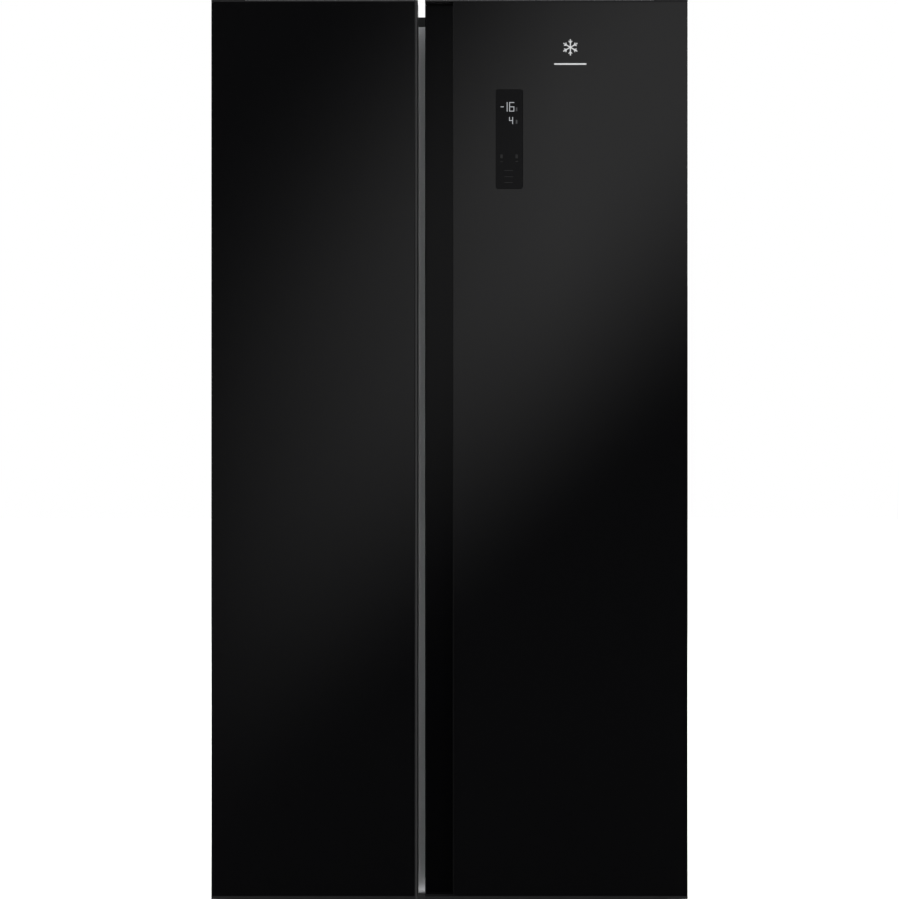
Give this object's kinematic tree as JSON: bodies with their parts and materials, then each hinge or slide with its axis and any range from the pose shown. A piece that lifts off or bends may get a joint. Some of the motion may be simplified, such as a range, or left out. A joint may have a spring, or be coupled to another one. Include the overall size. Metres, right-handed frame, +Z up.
{
  "type": "side by side refrigerator",
  "caption": "Side by side refrigerator with black glass doors, a full-height recessed grip, a touch panel, glass shelves, drawers, door bins and a vented machine bay.",
  "frame": {"origin": "on the floor, under the middle of the bounding box", "axes": "+X to the right seen from the front, +Y to the back, +Z up; the doors face -Y"},
  "size_m": [0.911, 0.7, 1.776],
  "materials": {
    "glass_black": "gloss",
    "cabinet_paint": "satin",
    "galvanised": "satin",
    "base_paint": "satin",
    "door_trim": "satin",
    "divider_grey": "satin",
    "black_plastic": "matte",
    "liner_white": "satin",
    "insulation": "matte",
    "gasket_grey": "matte",
    "mount_rubber": "matte",
    "clear_plastic": "gloss",
    "shelf_clear": "gloss",
    "trim_silver": "satin",
    "white_plastic": "satin",
    "lamp_white": "satin",
    "fin_aluminium": "satin",
    "copper_pipe": "satin",
    "panel_black": "gloss",
    "emblem_silver": "satin"
  },
  "bodies": {
    "cabinet": {"side_panel_left": "cabinet_paint", "side_panel_right": "cabinet_paint", "top_panel": "cabinet_paint", "back_panel": "galvanised", "base_plate": "base_paint", "cabinet_foam": "insulation", "freezer_liner": "liner_white", "fridge_liner": "liner_white", "divider_cover": "divider_grey", "kick_plate": "black_plastic", "top_hinges": "galvanised", "hinge_covers": "door_trim", "bottom_hinges": "galvanised", "freezer_duct_cover": "liner_white", "evaporator": "fin_aluminium", "fridge_duct_cover": "liner_white", "lamp_lenses": "lamp_white", "shelf_glass": "shelf_clear", "shelf_trims": "trim_silver", "ice_maker_frame": "white_plastic", "compressor": "base_paint", "compressor_mounts": "mount_rubber", "condenser": "base_paint", "fan_shroud": "black_plastic", "drain_pan": "black_plastic", "refrigerant_pipes": "copper_pipe", "control_box": "black_plastic", "power_inlet": "black_plastic", "rear_cover": "black_plastic"},
    "foot_left": {"foot_left": "black_plastic"},
    "foot_right": {"foot_right": "black_plastic"},
    "rear_rollers": {"rear_rollers": "black_plastic"},
    "evaporator_fan": {"evaporator_fan": "white_plastic"},
    "condenser_fan": {"condenser_fan": "white_plastic"},
    "ice_tray": {"ice_tray": "clear_plastic"},
    "ice_bin": {"ice_bin": "clear_plastic"},
    "freezer_drawer_upper": {"freezer_drawer_upper": "clear_plastic"},
    "freezer_drawer_lower": {"freezer_drawer_lower": "clear_plastic"},
    "crisper_upper": {"crisper_upper": "clear_plastic"},
    "crisper_lower": {"crisper_lower": "clear_plastic"},
    "freezer_door": {"freezer_door_frame": "door_trim", "freezer_door_glass": "glass_black", "freezer_door_foam": "insulation", "freezer_door_liner": "liner_white", "freezer_gasket": "gasket_grey"},
    "freezer_bin_top": {"freezer_bin_top": "clear_plastic"},
    "freezer_bin_middle": {"freezer_bin_middle": "clear_plastic"},
    "freezer_bin_bottom": {"freezer_bin_bottom": "clear_plastic"},
    "fridge_door": {"fridge_door_frame": "door_trim", "fridge_door_glass": "glass_black", "fridge_door_foam": "insulation", "fridge_door_liner": "liner_white", "fridge_gasket": "gasket_grey", "grip_channel": "door_trim", "control_panel": "panel_black", "emblem": "emblem_silver"},
    "fridge_bin_top": {"fridge_bin_top": "clear_plastic"},
    "fridge_bin_middle": {"fridge_bin_middle": "clear_plastic"},
    "fridge_bin_bottom": {"fridge_bin_bottom": "clear_plastic"},
    "dairy_lid": {"dairy_lid": "clear_plastic"}
  },
  "joints": [
    {"name": "door_freezer", "type": "hinge", "parent": "cabinet", "child": "freezer_door", "pos_m": [-0.438, -0.322, 0.045], "axis": [0, 0, -1], "range_deg": [0, 135]},
    {"name": "door_fridge", "type": "hinge", "parent": "cabinet", "child": "fridge_door", "pos_m": [0.438, -0.322, 0.045], "axis": [0, 0, 1], "range_deg": [0, 135]},
    {"name": "pull_crisper_upper", "type": "slide", "parent": "cabinet", "child": "crisper_upper", "axis": [0, -1, 0], "range_m": [0, 0.21]},
    {"name": "pull_crisper_lower", "type": "slide", "parent": "cabinet", "child": "crisper_lower", "axis": [0, -1, 0], "range_m": [0, 0.21]},
    {"name": "pull_freezer_drawer_upper", "type": "slide", "parent": "cabinet", "child": "freezer_drawer_upper", "axis": [0, -1, 0], "range_m": [0, 0.21]},
    {"name": "pull_freezer_drawer_lower", "type": "slide", "parent": "cabinet", "child": "freezer_drawer_lower", "axis": [0, -1, 0], "range_m": [0, 0.21]},
    {"name": "pull_ice_bin", "type": "slide", "parent": "cabinet", "child": "ice_bin", "axis": [0, -1, 0], "range_m": [0, 0.21]},
    {"name": "lift_freezer_bin_top", "type": "slide", "parent": "freezer_door", "child": "freezer_bin_top", "axis": [0, 0, 1], "range_m": [0, 0.04]},
    {"name": "lift_freezer_bin_middle", "type": "slide", "parent": "freezer_door", "child": "freezer_bin_middle", "axis": [0, 0, 1], "range_m": [0, 0.04]},
    {"name": "lift_freezer_bin_bottom", "type": "slide", "parent": "freezer_door", "child": "freezer_bin_bottom", "axis": [0, 0, 1], "range_m": [0, 0.04]},
    {"name": "lift_fridge_bin_top", "type": "slide", "parent": "fridge_door", "child": "fridge_bin_top", "axis": [0, 0, 1], "range_m": [0, 0.04]},
    {"name": "lift_fridge_bin_middle", "type": "slide", "parent": "fridge_door", "child": "fridge_bin_middle", "axis": [0, 0, 1], "range_m": [0, 0.04]},
    {"name": "lift_fridge_bin_bottom", "type": "slide", "parent": "fridge_door", "child": "fridge_bin_bottom", "axis": [0, 0, 1], "range_m": [0, 0.04]},
    {"name": "dairy_lid_open", "type": "hinge", "parent": "fridge_bin_top", "child": "dairy_lid", "pos_m": [0.18868, -0.272, 1.508], "axis": [1, 0, 0], "range_deg": [0, 80]},
    {"name": "twist_ice_tray", "type": "hinge", "parent": "cabinet", "child": "ice_tray", "pos_m": [-0.24055, -0.128, 1.36059], "axis": [0, 1, 0], "range_deg": [0, 130], "stiffness_Nm_per_rad": 0.2},
    {"name": "turn_foot_left", "type": "hinge", "parent": "cabinet", "child": "foot_left", "pos_m": [-0.4255, -0.235, 0], "axis": [0, 0, 1], "continuous": true},
    {"name": "turn_foot_right", "type": "hinge", "parent": "cabinet", "child": "foot_right", "pos_m": [0.4255, -0.235, 0], "axis": [0, 0, 1], "continuous": true},
    {"name": "turn_rollers", "type": "hinge", "parent": "cabinet", "child": "rear_rollers", "pos_m": [0, 0.3, 0.014], "axis": [1, 0, 0], "continuous": true},
    {"name": "turn_evaporator_fan", "type": "hinge", "parent": "cabinet", "child": "evaporator_fan", "pos_m": [-0.24055, 0.236, 0.785], "axis": [0, 1, 0], "continuous": true},
    {"name": "turn_condenser_fan", "type": "hinge", "parent": "cabinet", "child": "condenser_fan", "pos_m": [-0.1385, 0.2394, 0.126], "axis": [1, 0, 0], "continuous": true}
  ],
  "couplings": [
    {"joint": "pull_freezer_drawer_upper", "follows": "door_freezer", "m_per_rad": 0.085},
    {"joint": "pull_freezer_drawer_lower", "follows": "door_freezer", "m_per_rad": 0.085},
    {"joint": "pull_ice_bin", "follows": "door_freezer", "m_per_rad": 0.085},
    {"joint": "pull_crisper_upper", "follows": "door_fridge", "m_per_rad": 0.085},
    {"joint": "pull_crisper_lower", "follows": "door_fridge", "m_per_rad": 0.085}
  ]
}
